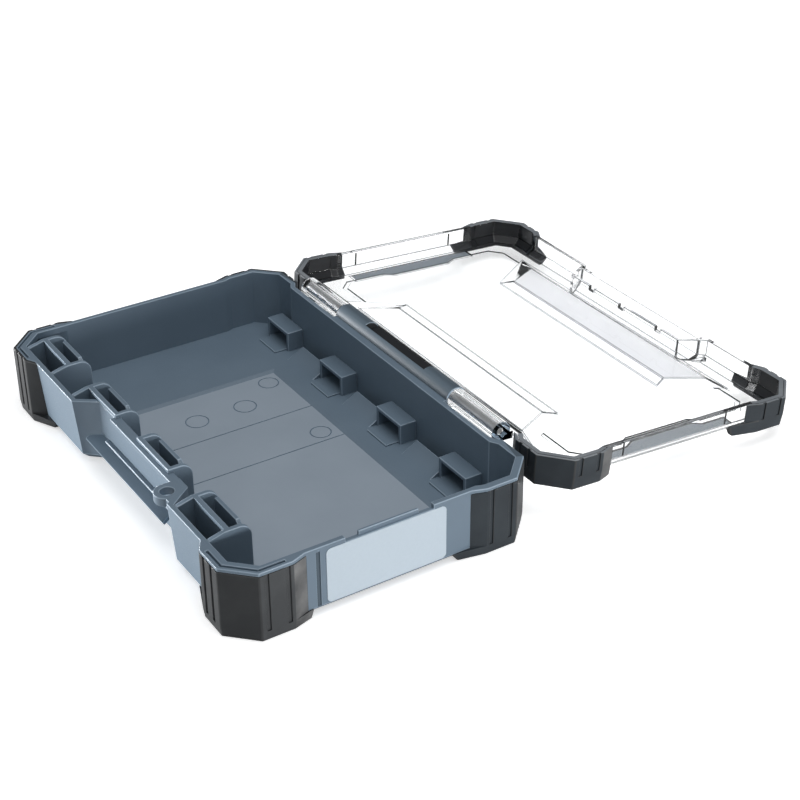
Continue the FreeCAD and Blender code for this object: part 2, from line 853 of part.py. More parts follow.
def lid_shell():
    """The clear lid, closed, with its panel pads, field line, fence and hinge knuckles."""
    shell = lid_block().cut(lid_cavity()).cut(field_line())
    shell = shell.fuse([panel_pad(-1, lid_inside), panel_pad(1, lid_inside), lid_fence()])
    shell = shell.cut([panel_pad(-1, lid_top), panel_pad(1, lid_top), side_pad(-1), side_pad(1)])
    for side in (-1, 1):
        piece, bore = knuckle(side)
        shell = shell.fuse(piece).cut(bore)
    return shell.removeSplitter()


def opened(shape):
    """A closed lid piece turned about the hinge to the open rest pose."""
    turned = shape.copy()
    turned.rotate(V(0, hinge_y, hinge_z), V(1, 0, 0), -open_angle)
    return turned


def rail_outline(depth):
    """The grip rail's plan between the recess's sides, from its back wall to a depth."""
    left = -recess_back_left + rail_left_gap
    right = recess_back_right - rail_right_gap
    spread = (recess_mouth_left - recess_back_left) / recess_depth * depth
    return [
        (left - spread, -recess_back - depth),
        (right + spread, -recess_back - depth),
        (right, -recess_back),
        (left, -recess_back),
    ]


def grip_rail():
    """The thin rail across the recess: an undercut front edge, one round corner and a bead at its back."""
    low = rail_top - rail_skin
    rail = frustum(rail_outline(rail_depth - rail_undercut), low, rail_outline(rail_depth), rail_top)
    corner = rail_outline(rail_depth)[0]
    edges = [
        edge for edge in rail.Edges
        if edge.BoundBox.ZLength > rail_skin / 2 and edge.BoundBox.XMin < corner[0] + rail_undercut
    ]
    rail = rail.makeFillet(rail_round, edges)
    bead = block(
        -recess_back_left + rail_bead_left_gap, recess_back_right - rail_right_gap,
        -recess_back - rail_bead_width, -recess_back,
        rail_top, rail_top + rail_bead_rise,
    )
    return rail.fuse(bead).removeSplitter()


def clip_tongue(x):
    """One spring tongue of a click clip: an upright leaf on a round foot, with a bead near its top."""
    half = clip_gap / 2 - tongue_side_gap
    top = tray_height - tongue_drop
    leaf = block(
        x - half, x + half, -tongue_front, -tongue_front + tongue_thickness, tongue_pivot_z, top
    )
    foot = rod(tongue_thickness / 2, x - half, x + half, -tongue_middle, tongue_pivot_z)
    bead_z = top - tongue_bead_drop
    bead_end = x + half - tongue_chamfer
    bead = rod(tongue_bead_radius, x - half, bead_end, -tongue_front + tongue_thickness, bead_z)
    corner = [
        V(x + half - tongue_chamfer, -tongue_front - overrun, top),
        V(x + half, -tongue_front - overrun, top),
        V(x + half, -tongue_front - overrun, top - tongue_chamfer),
    ]
    corner_face = Part.Face(Part.makePolygon(corner + corner[:1]))
    wedge = corner_face.extrude(V(0, tongue_thickness + 2 * overrun, 0))
    return leaf.fuse([foot, bead]).cut(wedge).removeSplitter()


def hinge_pin(side):
    """One steel hinge pin: fast in the tray's sleeve, running in the lid's knuckle."""
    xs = sorted((side * (sleeve_half - pin_hold), side * pin_end))
    pin = rod(pin_radius, xs[0], xs[1], hinge_y, hinge_z)
    rims = [edge for edge in pin.Edges if edge.BoundBox.XLength < pin_radius]
    return pin.makeChamfer(pin_chamfer, rims)


def side_label():
    """A blank sticker with round corners on the right-hand wall."""
    label = block(
        side_face, side_face + label_thickness,
        label_front, corner_start_y - label_rear_gap,
        wall_low + label_low_gap, side_wall_top - label_top_gap,
    )
    edges = [edge for edge in label.Edges if edge.BoundBox.XLength > label_thickness / 2]
    return label.makeFillet(label_round, edges)


def build():
    """Every piece of the case by name, in the open rest pose."""
    shell = tray_shell()
    pieces = {"tray_shell": shell, "lid_shell": opened(lid_shell()), "grip_rail": grip_rail()}
    for name, (side_x, side_y) in corners.items():
        pieces["tray_bumper_" + name] = tray_bumper(side_x, side_y)
        pieces["lid_bumper_" + name] = opened(lid_bumper(side_x, side_y))
    for number, x in enumerate(clip_centres, 1):
        pieces["clip_frame_%d" % number] = clip_frame(x, shell)
        pieces["clip_tongue_%d" % number] = clip_tongue(x)
        pieces["rear_socket_%d" % number] = rear_socket(x)
    pieces["hinge_pin_left"] = hinge_pin(-1)
    pieces["hinge_pin_right"] = hinge_pin(1)
    pieces["side_label"] = side_label()
    return pieces


os.makedirs("parts", exist_ok=True)
for node, shape in build().items():
    shape.translate(V(0, -hinge_y, 0))
    shape.exportStep("parts/%s.step" % node)
    print("%-26s solids %d  volume %.1f" % (node, len(shape.Solids), shape.Volume))
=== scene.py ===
# %% [markdown]
# # An open accessory case
# A shallow blue-grey tray with rubber corners stands open on a white table, and its clear lid lies back
# on two steel pins.  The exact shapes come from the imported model, so this lesson spends its time on
# edges, finishes and light.  Everything is in metres, with +Z up and the hinge along X.

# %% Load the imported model
import math

import bmesh
import bpy
from mathutils import Matrix, Vector


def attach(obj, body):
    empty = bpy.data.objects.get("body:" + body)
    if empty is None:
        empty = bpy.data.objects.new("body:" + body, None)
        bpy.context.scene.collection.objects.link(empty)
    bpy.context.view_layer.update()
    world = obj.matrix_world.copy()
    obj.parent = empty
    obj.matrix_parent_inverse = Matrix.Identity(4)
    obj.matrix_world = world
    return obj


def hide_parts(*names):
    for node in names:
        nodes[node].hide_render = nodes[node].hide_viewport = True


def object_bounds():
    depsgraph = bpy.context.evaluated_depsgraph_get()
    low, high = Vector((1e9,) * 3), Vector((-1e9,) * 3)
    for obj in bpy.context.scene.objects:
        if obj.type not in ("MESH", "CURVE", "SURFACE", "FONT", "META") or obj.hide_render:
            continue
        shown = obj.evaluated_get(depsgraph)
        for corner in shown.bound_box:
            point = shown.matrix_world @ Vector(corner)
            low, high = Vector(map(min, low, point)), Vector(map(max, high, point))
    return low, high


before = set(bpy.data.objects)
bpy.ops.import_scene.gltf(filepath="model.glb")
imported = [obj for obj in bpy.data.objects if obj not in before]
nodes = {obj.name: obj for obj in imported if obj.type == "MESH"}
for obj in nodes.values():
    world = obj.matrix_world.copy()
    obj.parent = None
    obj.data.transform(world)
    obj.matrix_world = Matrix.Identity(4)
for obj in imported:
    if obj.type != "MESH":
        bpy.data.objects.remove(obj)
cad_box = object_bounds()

MM = 0.001
scene = bpy.context.scene


def in_mm(box):
    """The corners of a box as numbers in millimetres."""
    return [round(value / MM, 1) for corner in box for value in corner]


print("loaded", len(nodes), "nodes; box", in_mm(cad_box))

# %% [markdown]
# ## Camera
# The case is seen through a long lens, from the right of its front and about thirty degrees above the
# table.  A camera could be aimed with a constraint, but a matrix built from three axes also holds the
# small roll of the picture.

# %% Camera
AZIMUTH, ELEVATION, ROLL = (math.radians(angle) for angle in (57.57, 30.91, -0.39))
CAMERA_PLACE = Vector((0.5648, -0.35807, 0.40775))
LENS_MM, SENSOR_MM = 76.11, 36
NEAREST_SEEN = 0.01
back = Vector((
    math.sin(AZIMUTH) * math.cos(ELEVATION),
    -math.cos(AZIMUTH) * math.cos(ELEVATION),
    math.sin(ELEVATION),
))
level = Vector((math.cos(AZIMUTH), math.sin(AZIMUTH), 0))
rise = back.cross(level)
right = level * math.cos(ROLL) + rise * math.sin(ROLL)
up = rise * math.cos(ROLL) - level * math.sin(ROLL)
axes = Matrix((right, up, back)).transposed()
camera = bpy.data.objects.new("camera", bpy.data.cameras.new("camera"))
camera.data.lens = LENS_MM
camera.data.sensor_width = SENSOR_MM
camera.data.clip_start = NEAREST_SEEN
camera.matrix_world = Matrix.Translation(CAMERA_PLACE) @ axes.to_4x4()
scene.collection.objects.link(camera)
scene.camera = camera
print("camera at", [round(v, 3) for v in CAMERA_PLACE], "lens", LENS_MM)

# %% [markdown]
# ## Sky
# The case stands in a white room, and only white shows behind it.  A strong white light all round could
# make that, but it would wash out the clear lid.  Light Path tells the eye's own rays from the others, so
# the sky is white to the eye and a soft grey to the case, and that grey draws the edges of the lid.

# %% Helpers for node trees
def node(tree, kind, **values):
    """A new node, with its plain properties set."""
    made = tree.nodes.new(kind)
    for name, value in values.items():
        setattr(made, name, value)
    return made


def ray_kind(tree, *kinds):
    """A socket that is 1 for the named kinds of rays, and 0 for the rest."""
    path = node(tree, "ShaderNodeLightPath")
    seen = path.outputs[kinds[0]]
    for kind in kinds[1:]:
        either = node(tree, "ShaderNodeMath", operation="MAXIMUM")
        tree.links.new(seen, either.inputs[0])
        tree.links.new(path.outputs[kind], either.inputs[1])
        seen = either.outputs[0]
    return seen


scene.view_settings.view_transform = "Standard"
print("view transform", scene.view_settings.view_transform)

# %% Sky
WHITE = (1, 1, 1, 1)
SKY_COLOUR = (0.94, 0.97, 1.0, 1)
SKY_STRENGTH = 0.30
world = bpy.data.worlds.new("studio sky")
scene.world = world
world.use_nodes = True
sky = world.node_tree
sky.nodes.clear()
sky_light = node(sky, "ShaderNodeBackground")
sky_light.inputs["Color"].default_value = SKY_COLOUR
sky_light.inputs["Strength"].default_value = SKY_STRENGTH
sky_white = node(sky, "ShaderNodeBackground")
sky_white.inputs["Color"].default_value = WHITE
sky_white.inputs["Strength"].default_value = 1.0
sky_mix = node(sky, "ShaderNodeMixShader")
sky_out = node(sky, "ShaderNodeOutputWorld")
sky.links.new(ray_kind(sky, "Is Camera Ray"), sky_mix.inputs[0])
sky.links.new(sky_light.outputs[0], sky_mix.inputs[1])
sky.links.new(sky_white.outputs[0], sky_mix.inputs[2])
sky.links.new(sky_mix.outputs[0], sky_out.inputs["Surface"])
print("sky strength", SKY_STRENGTH)

# %% [markdown]
# ## Floor
# The table is matt and white, and it keeps a soft shadow round the case.  A floor that only glows would
# lose the shadow, and one that is only matt would come out grey.  So this one is matt, with a little glow
# added for the eye and for the rays that reach it through the lid.

# %% Floor
FLOOR_HALF = 4.0
FLOOR_COLOUR = (0.8, 0.8, 0.8, 1)
FLOOR_GLOW = 0.55
floor_mesh = bpy.data.meshes.new("floor")
floor_corners = [(x * FLOOR_HALF, y * FLOOR_HALF, 0) for x, y in ((-1, -1), (1, -1), (1, 1), (-1, 1))]
floor_mesh.from_pydata(floor_corners, [], [(0, 1, 2, 3)])
floor = bpy.data.objects.new("floor", floor_mesh)
scene.collection.objects.link(floor)
floor_white = bpy.data.materials.new("floor white")
floor_white.use_nodes = True
tree = floor_white.node_tree
tree.nodes.clear()
matt = node(tree, "ShaderNodeBsdfDiffuse")
matt.inputs["Color"].default_value = FLOOR_COLOUR
glow = node(tree, "ShaderNodeEmission")
glow.inputs["Color"].default_value = WHITE
scale = node(tree, "ShaderNodeMath", operation="MULTIPLY")
scale.inputs[1].default_value = FLOOR_GLOW
total = node(tree, "ShaderNodeAddShader")
floor_out = node(tree, "ShaderNodeOutputMaterial")
tree.links.new(ray_kind(tree, "Is Camera Ray", "Is Transmission Ray"), scale.inputs[0])
tree.links.new(scale.outputs[0], glow.inputs["Strength"])
tree.links.new(matt.outputs[0], total.inputs[0])
tree.links.new(glow.outputs[0], total.inputs[1])
tree.links.new(total.outputs[0], floor_out.inputs["Surface"])
floor_mesh.materials.append(floor_white)
print("floor", 2 * FLOOR_HALF, "m square")

# %% [markdown]
# ## Lamps
# Soft studio light falls on the case from above, and its outer walls are brighter than the inside of the
# tray.  One big lamp could light all of it, but then inside and outside come out alike.  So a big lamp
# overhead lights the rims and the tray's floor, and two low strips light the outer walls in front and on
# the right but stay out of the tray.

# %% Lamps
TABLE_MIDDLE = (0, 0, 0)
TRAY_MIDDLE = (0, -0.07, 0.02)


def soft_lamp(name, place, target, width, height, watts):
    """An area lamp aimed at a point.  The eye does not see it."""
    data = bpy.data.lights.new(name, "AREA")
    data.shape = "RECTANGLE"
    data.size = width
    data.size_y = height
    data.energy = watts
    lamp = bpy.data.objects.new(name, data)
    lamp.location = place
    lamp.rotation_euler = (Vector(target) - Vector(place)).to_track_quat("-Z", "Y").to_euler()
    lamp.visible_camera = False
    scene.collection.objects.link(lamp)


soft_lamp("overhead softbox", (0.32, 0.0, 1.3), TABLE_MIDDLE, width=1.1, height=1.1, watts=12.0)
soft_lamp("front strip", (-0.95, -0.75, 0.02), TRAY_MIDDLE, width=1.1, height=0.03, watts=37.0)
soft_lamp("right strip", (1.05, 0.42, 0.05), TRAY_MIDDLE, width=1.2, height=0.08, watts=9.0)

# %% [markdown]
# ## Moulded plastic
# The tray is a satin moulded plastic.  Under a lens it has a fine leathery grain, faint clouds where the
# melt flowed, and edges that went pale from handling; here the paler edges also carry a painted highlight.
# A picture of plastic could hold that, but noise in object space needs no unwrapping and keeps its real
# scale: each scale below is a count per metre.

# %% Material helpers
def finish(name, roughness, shine=0.5):
    """A new material with its node tree and its shader.  The shine is 0.5 for plain plastic."""
    material = bpy.data.materials.new(name)
    material.use_nodes = True
    shader = material.node_tree.nodes["Principled BSDF"]
    shader.inputs["Roughness"].default_value = roughness
    shader.inputs["Specular IOR Level"].default_value = shine
    return material, material.node_tree, shader


def speckle(tree, per_metre, detail=2.0, stretch=(1, 1, 1)):
    """A noise value in object space, from 0 to 1."""
    place = node(tree, "ShaderNodeTexCoord")
    mapping = node(tree, "ShaderNodeMapping")
    mapping.inputs["Scale"].default_value = stretch
    noise = node(tree, "ShaderNodeTexNoise")
    noise.inputs["Scale"].default_value = per_metre
    noise.inputs["Detail"].default_value = detail
    tree.links.new(place.outputs["Object"], mapping.inputs["Vector"])
    tree.links.new(mapping.outputs["Vector"], noise.inputs["Vector"])
    return noise.outputs["Fac"]


print("materials so far", len(bpy.data.materials))

# %% Colour, roughness and grain from a noise
NOISE_LOW, NOISE_HIGH = 0.3, 0.7
GRAIN_DEPTH = 0.1 * MM


def ramp(tree, value, low, high, first, second):
    """A socket that goes from first to second as value goes from low to high."""
    spread = node(tree, "ShaderNodeMapRange", clamp=True)
    tree.links.new(value, spread.inputs["Value"])
    spread.inputs["From Min"].default_value = low
    spread.inputs["From Max"].default_value = high
    spread.inputs["To Min"].default_value = first
    spread.inputs["To Max"].default_value = second
    return spread.outputs["Result"]


def two_tone(tree, value, first, second):
    """A colour that runs from first to second with value."""
    mix = node(tree, "ShaderNodeMix", data_type="RGBA")
    tree.links.new(value, mix.inputs["Factor"])
    mix.inputs["A"].default_value = (*first, 1)
    mix.inputs["B"].default_value = (*second, 1)
    return mix.outputs["Result"]


def grain(tree, shader, value, strength):
    """Fine relief on the surface from a value."""
    bump = node(tree, "ShaderNodeBump")
    bump.inputs["Strength"].default_value = strength
    bump.inputs["Distance"].default_value = GRAIN_DEPTH
    tree.links.new(value, bump.inputs["Height"])
    tree.links.new(bump.outputs["Normal"], shader.inputs["Normal"])


def pored(tree, shader, per_metre, smoother, rougher, strength):
    """Pores that vary the roughness and raise a grain."""
    pores = speckle(tree, per_metre)
    roughness = ramp(tree, pores, NOISE_LOW, NOISE_HIGH, smoother, rougher)
    tree.links.new(roughness, shader.inputs["Roughness"])
    grain(tree, shader, pores, strength)


print("grain depth", GRAIN_DEPTH / MM, "mm")

# %% Moulded plastic of the tray
CLOUDS, SCUFFS, PORES = 28, 260, 2400
SCUFF_LOW, SCUFF_HIGH, SCUFF_TONE = 0.66, 0.8, 0.25
LONG_IN_X = (0.06, 1, 1)


def moulded_plastic(name, dark, pale, roughness, shine=0.5):
    """Satin plastic with clouds, pores and fine scuffs."""
    material, tree, shader = finish(name, roughness, shine)
    clouds = ramp(tree, speckle(tree, CLOUDS, 5), NOISE_LOW, NOISE_HIGH, 0, 1)
    scuffs = ramp(tree, speckle(tree, SCUFFS, 3, LONG_IN_X), SCUFF_LOW, SCUFF_HIGH, 0, SCUFF_TONE)
    tone = node(tree, "ShaderNodeMath", operation="ADD")
    tree.links.new(clouds, tone.inputs[0])
    tree.links.new(scuffs, tone.inputs[1])
    tree.links.new(two_tone(tree, tone.outputs[0], dark, pale), shader.inputs["Base Color"])
    pored(tree, shader, PORES, roughness - 0.05, roughness + 0.08, strength=0.12)
    return material


tray_finish = moulded_plastic("tray plastic", (0.112, 0.156, 0.202), (0.128, 0.176, 0.226), 0.42)
# The rounded edges are paler: partly wear, partly a painted highlight.
tray_edge_wear_and_highlight_finish = moulded_plastic("tray plastic edges, wear and painted highlight", (0.19, 0.25, 0.31), (0.25, 0.32, 0.39), 0.40)
# The sunk middle of the floor: paler and greyer by a painted sheen.
panel_sheen_finish = moulded_plastic(
    "tray plastic, painted sheen", (0.245, 0.292, 0.345), (0.270, 0.319, 0.374), 0.40
)
# The hinge sleeve and the wall's groove: darker by painted shade, and duller.
sleeve_and_groove_shade_finish = moulded_plastic(
    "tray plastic, duller, painted shade", (0.062, 0.086, 0.11), (0.071, 0.097, 0.12), 0.5, shine=0.25
)
# The slot in the sleeve: painted nearly black as shade.
slot_shade_finish = moulded_plastic(
    "tray plastic, shaded", (0.010, 0.011, 0.013), (0.014, 0.015, 0.018), 0.6, shine=0.2
)
print("plastic", tray_finish.name, len(tray_finish.node_tree.nodes), "nodes")

# %% [markdown]
# ## Rubber
# The corners are dull black rubber with dust in its pores.  Their edges are paler, partly from wear and
# partly as a painted highlight; the rims and some faces turned to the right carry painted light, the
# faces that look into the lid carry painted shade, and six corners take a cooler tone of painted shade.
# One material with a painted mask could hold all of that, but then each corner needs a mask of its own.
# One recipe with a few pairs of tones is simpler, and groups of faces take the tone that they need.

# %% Rubber of the corners
DUST, RUBBER_PORES = 60, 3200
DUST_LOW, DUST_HIGH = 0.42, 0.72
RUBBER_SHINE = 0.25


def corner_rubber(name, dark, pale, roughness=0.46):
    """Matt rubber with a fine grain and patches of dust."""
    material, tree, shader = finish(name, roughness, RUBBER_SHINE)
    dust = ramp(tree, speckle(tree, DUST, 6), DUST_LOW, DUST_HIGH, 0, 1)
    tree.links.new(two_tone(tree, dust, dark, pale), shader.inputs["Base Color"])
    pored(tree, shader, RUBBER_PORES, roughness - 0.06, roughness + 0.08, strength=0.2)
    return material


rubber_finish = corner_rubber("corner rubber", (0.024, 0.026, 0.028), (0.034, 0.036, 0.038))
# A cooler, bluer copy of the rubber: painted shade.
rubber_cool_shade_finish = corner_rubber("corner rubber, cooler by painted shade", (0.023, 0.029, 0.035), (0.032, 0.040, 0.047))
# Paler rounded edges: partly wear, partly a painted highlight.
rubber_edge_wear_and_highlight_finish = corner_rubber("corner rubber edges, wear and painted highlight", (0.036, 0.038, 0.040), (0.052, 0.054, 0.056))
# Pale rims: a painted highlight where the lid's rims face up.
rubber_rim_highlight_finish = corner_rubber("corner rubber, rim, painted highlight", (0.16, 0.175, 0.19), (0.22, 0.235, 0.25), 0.5)
# Paler faces that look to the right: painted light.
rubber_painted_light_finish = corner_rubber("corner rubber, dusty", (0.044, 0.047, 0.050), (0.062, 0.066, 0.069))
# Near-black faces inside the lid's corners: painted shade.
rubber_inner_shade_finish = corner_rubber(
    "corner rubber, inside, painted shade", (0.006, 0.007, 0.009), (0.010, 0.011, 0.013), 0.5
)
# The slanted faces at the right-hand ends: a painted highlight, mottled by the dust noise.
rubber_painted_highlight_finish = corner_rubber(
    "corner rubber, painted_highlight", (0.05, 0.052, 0.054), (0.17, 0.17, 0.17), 0.5
)
print("rubber", rubber_finish.name, len(rubber_finish.node_tree.nodes), "nodes")

# %% [markdown]
# ## Clear plastic
# The lid is clear and stiff, and shows mostly by its edges, which look dark because light leaves them
# sideways.  Plain transparency could stand for it, but only a solid that bends light shows its thickness,
# so this is glass with the index of clear plastic.  The rounded edges and the wall ribs also get a dark
# tint of painted shade.  One pad is frosted, and the strips at the sides are smoked.

# %% Clear plastic of the lid
CLEAR_INDEX = 1.49
SMOKED_COLOUR, SMOKED_CLEAR = (0.135, 0.16, 0.185, 1), 0.2


def clear_plastic(name, tint, roughness):
    """Clear plastic that bends light.

    Rays on their way to a lamp go straight through, so it casts no dark shadow.
    """
    material, tree, shader = finish(name, roughness)
    shader.inputs["Base Color"].default_value = (*tint, 1)
    shader.inputs["Transmission Weight"].default_value = 1.0
    shader.inputs["IOR"].default_value = CLEAR_INDEX
    straight = node(tree, "ShaderNodeBsdfTransparent")
    straight.inputs["Color"].default_value = (*tint, 1)
    mix = node(tree, "ShaderNodeMixShader")
    output = tree.nodes["Material Output"]
    tree.links.new(ray_kind(tree, "Is Shadow Ray"), mix.inputs[0])
    tree.links.new(shader.outputs[0], mix.inputs[1])
    tree.links.new(straight.outputs[0], mix.inputs[2])
    tree.links.new(mix.outputs[0], output.inputs["Surface"])
    return material


clear_finish = clear_plastic("clear lid", (0.985, 0.99, 0.992), 0.015)
# The lid's rounded edges: a dark tint of painted shade.
clear_edge_shade_finish = clear_plastic("clear lid edges, painted shade", (0.14, 0.15, 0.16), 0.12)
frosted_finish = clear_plastic("clear lid, frosted", (0.68, 0.69, 0.73), 0.35)
smoked_finish, tree, shader = finish("clear lid, smoked", 0.3)
shader.inputs["Base Color"].default_value = SMOKED_COLOUR
shader.inputs["Transmission Weight"].default_value = SMOKED_CLEAR
print("clear", clear_finish.name, len(clear_finish.node_tree.nodes), "nodes")

# %% [markdown]
# ## Steel and paper
# The hinge pins are drawn steel wire, and the label on the right-hand wall is pale paper.  A plain metal
# and a plain white would look like stand-ins.  Noise that is stretched along X gives the pins the lines of
# drawing, and a fine noise gives the paper its fibres.

# %% Steel and paper
DRAWN_LINES, FIBRES = 900, 700
DRAWN_IN_X = (0.05, 1, 1)
steel_finish, tree, shader = finish("pin steel", 0.28)
shader.inputs["Metallic"].default_value = 1.0
lines = speckle(tree, DRAWN_LINES, 3, DRAWN_IN_X)
steel_tone = two_tone(tree, lines, (0.42, 0.42, 0.43), (0.66, 0.66, 0.67))
tree.links.new(steel_tone, shader.inputs["Base Color"])
grain(tree, shader, lines, strength=0.15)
paper_finish, tree, shader = finish("label paper", 0.45)
fibres = speckle(tree, FIBRES, 6)
paper_tone = two_tone(tree, fibres, (0.42, 0.49, 0.55), (0.46, 0.53, 0.59))
tree.links.new(paper_tone, shader.inputs["Base Color"])
grain(tree, shader, fibres, strength=0.05)
print("steel and paper", steel_finish.name, paper_finish.name)

# %% [markdown]
# ## Room for rounded edges
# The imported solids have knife-sharp edges, and nothing moulded has: a real edge is a small round that
# catches a line of light.  One bevel width for all edges could give that, but it would swallow fine
# grooves and thin ribs.  So the coplanar triangles are merged first, and each sharp edge then gets a bevel
# weight that leaves room on its two faces.

# %% Room beside an edge
SIDE_BY_SIDE = 0.9
END_TO_END = 0.01 * MM
OPEN_ROOM = 1.0


def sharp_edges(mesh, angle):
    """The edges of a closed mesh that turn by more than an angle in degrees."""
    return [e for e in mesh.edges if e.is_manifold and e.calc_face_angle(0) > math.radians(angle)]


def room_on_face(edge, face, sharp):
    """The distance from an edge to the nearest sharp edge that runs beside it on one face.

    A sharp edge that meets it at an end gives room for its own length.
    """
    start, end = (v.co for v in edge.verts)
    length = (end - start).length
    along = (end - start) / length
    room = OPEN_ROOM
    for other in face.edges:
        if other is edge or other not in sharp:
            continue
        a, b = ((v.co - start) for v in other.verts)
        if abs((b - a).normalized().dot(along)) < SIDE_BY_SIDE:
            if set(other.verts) & set(edge.verts):
                room = min(room, other.calc_length())
            continue
        low, high = sorted((a.dot(along), b.dot(along)))
        if high < END_TO_END or low > length - END_TO_END:
            continue
        room = min(room, (a - along * a.dot(along)).length)
    return room


print("edges run side by side from a share of", SIDE_BY_SIDE)

# %% Weights for the rounds
WELD = 0.002 * MM
FLAT_ANGLE = math.radians(0.3)
ROOM_SHARE = 0.4
LEAST_ROUND = 0.05 * MM


def rounded_mesh(name, source, radius, angle, takes_round):
    """A cleaned copy of a mesh with a bevel weight on each sharp edge that has room.

    takes_round tells from an edge and its middle whether the edge may be rounded.
    """
    work = bmesh.new()
    work.from_mesh(source)
    bmesh.ops.remove_doubles(work, verts=work.verts, dist=WELD)
    bmesh.ops.dissolve_limit(work, angle_limit=FLAT_ANGLE, verts=work.verts, edges=work.edges)
    weight = work.edges.layers.float.new("bevel_weight_edge")
    sharp = set(sharp_edges(work, angle))
    for edge in sharp:
        room = min(room_on_face(edge, face, sharp) for face in edge.link_faces)
        allowed = min(radius, ROOM_SHARE * room)
        middle = (edge.verts[0].co + edge.verts[1].co) / 2
        if allowed > LEAST_ROUND and takes_round(edge, middle):
            edge[weight] = allowed / radius
    for face in work.faces:
        face.smooth = True
        face.material_index = 0
    mesh = bpy.data.meshes.new(name)
    work.to_mesh(mesh)
    work.free()
    return mesh


print("smallest round", LEAST_ROUND / MM, "mm")

# %% [markdown]
# ## Shown copies
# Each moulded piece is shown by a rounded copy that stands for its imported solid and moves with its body.
# Smooth shading alone would smear light over the big faces, and flat shading would show each step of a
# round.  So creases stay sharp, and the shading normals are weighted by face area, which keeps the big
# faces flat.  Large polygons are cut into triangles last, because hollow ones can be filled wrongly.

# %% Creases and modifiers
ROUND_FINISH = 1
ROUND_CREASE = 50


def mark_creases(mesh, angle):
    """Mark the edges that stay sharp: those between two flat faces, and the ends of rounds."""
    work = bmesh.new()
    work.from_mesh(mesh)
    for edge in work.edges:
        turn = math.degrees(edge.calc_face_angle(0))
        rounded = any(face.material_index == ROUND_FINISH for face in edge.link_faces)
        edge.smooth = turn < (ROUND_CREASE if rounded else angle)
    work.to_mesh(mesh)
    work.free()


def bake(piece):
    """Apply a piece's modifiers to its mesh."""
    evaluated = piece.evaluated_get(bpy.context.evaluated_depsgraph_get())
    baked = bpy.data.meshes.new_from_object(evaluated)
    piece.modifiers.clear()
    piece.data = baked


print("rounds stay smooth up to", ROUND_CREASE, "degrees")

# %% Shown copies
LARGE_POLYGON = 5
shown = {}


def is_outer(edge, middle):
    """Only outer corners are rounded."""
    return edge.is_convex


def shown_copy(
    node_name, body, radius, finishes, segments=2, angle=24, crease=16, takes_round=is_outer
):
    """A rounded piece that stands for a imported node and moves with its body.

    Its second finish is for the rounds.
    """
    name = node_name + "_moulded"
    source = nodes[node_name].data
    piece = bpy.data.objects.new(name, rounded_mesh(name, source, radius, angle, takes_round))
    scene.collection.objects.link(piece)
    for material in finishes:
        piece.data.materials.append(material)
    bevel = piece.modifiers.new("round edges", "BEVEL")
    bevel.limit_method = "WEIGHT"
    bevel.width = radius
    bevel.segments = segments
    bevel.use_clamp_overlap = False
    bevel.material = ROUND_FINISH
    bake(piece)
    mark_creases(piece.data, crease)
    normals = piece.modifiers.new("flat big faces", "WEIGHTED_NORMAL")
    normals.keep_sharp = True
    triangles = piece.modifiers.new("no large polygons", "TRIANGULATE")
    triangles.min_vertices = LARGE_POLYGON
    triangles.keep_custom_normals = True
    bake(piece)
    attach(piece, body)
    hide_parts(node_name)
    shown[node_name] = piece
    print(name, "faces", len(piece.data.polygons))
    return piece


print("large polygons have", LARGE_POLYGON, "corners or more")

# %% [markdown]
# ## Tray
# The shell, the grip rail, the clips' frames and tongues and the sockets are all of the same blue-grey
# plastic.  They could be joined into one mesh, but the tongues flex, and a piece with its own name can be
# used again.  So each node gets a copy of its own, and each tongue rides on its own body.

# %% Tray pieces
FINE_ROUND, SOFT_ROUND = 0.35 * MM, 0.4 * MM
tray_pair = (tray_finish, tray_edge_wear_and_highlight_finish)
tray_finishes = (*tray_pair, panel_sheen_finish, slot_shade_finish, sleeve_and_groove_shade_finish)
tray = shown_copy("tray_shell", "tray", FINE_ROUND, tray_finishes)
shown_copy("grip_rail", "tray", SOFT_ROUND, tray_pair)
for number in range(1, 5):
    clip_tongue = "clip_tongue_%d" % number
    shown_copy("clip_frame_%d" % number, "tray", SOFT_ROUND, tray_pair)
    shown_copy("rear_socket_%d" % number, "tray", FINE_ROUND, tray_pair)
    shown_copy(clip_tongue, clip_tongue, FINE_ROUND, tray_pair)
print("tray pieces", len(shown))

# %% [markdown]
# ## Painted sheen and shade within the tray
# The sunk middle of the floor is paler by a painted sheen, the hinge sleeve is darker by painted shade and
# duller, the groove in the right-hand wall takes the same painted shade, and the slot in the sleeve is
# painted nearly black as shade.  Each could be a piece of its own, but on the real tray they are one
# moulding.  So faces of the copy take another finish, chosen by where their middle lies and which way they
# look.

# %% Painting faces
def paint(piece, material, fits, rounds=False):
    """Give one of a piece's finishes to the faces whose middle and normal fit, and count them.

    Rounded edges keep their own finish unless rounds is set.
    """
    number = piece.data.materials.find(material.name)
    flats = (face for face in piece.data.polygons if rounds or face.material_index != ROUND_FINISH)
    faces = [face for face in flats if fits(face.center, face.normal)]
    for face in faces:
        face.material_index = number
    return len(faces)


print("finishes of the tray", [material.name for material in tray.data.materials])

# %% Floor panel, sleeve, slot and groove of the tray
NEAR = 0.06 * MM
LEVEL, ACROSS = 0.99, 0.5
PANEL_Z = 3.2 * MM
SLOT_Z, SLOT_HALF, SLOT_FRONT = 33.61 * MM, 24.5 * MM, -2.2 * MM
HINGE = Vector((0, 0, 31.71 * MM))
SLEEVE_REACH = 5.2 * MM
GROOVE_X, GROOVE_FRONT, GROOVE_REAR = 109.5 * MM, -107.6 * MM, -105.0 * MM


def on_panel(middle, normal):
    """The sunk middle of the floor."""
    return normal.z > LEVEL and abs(middle.z - PANEL_Z) < NEAR


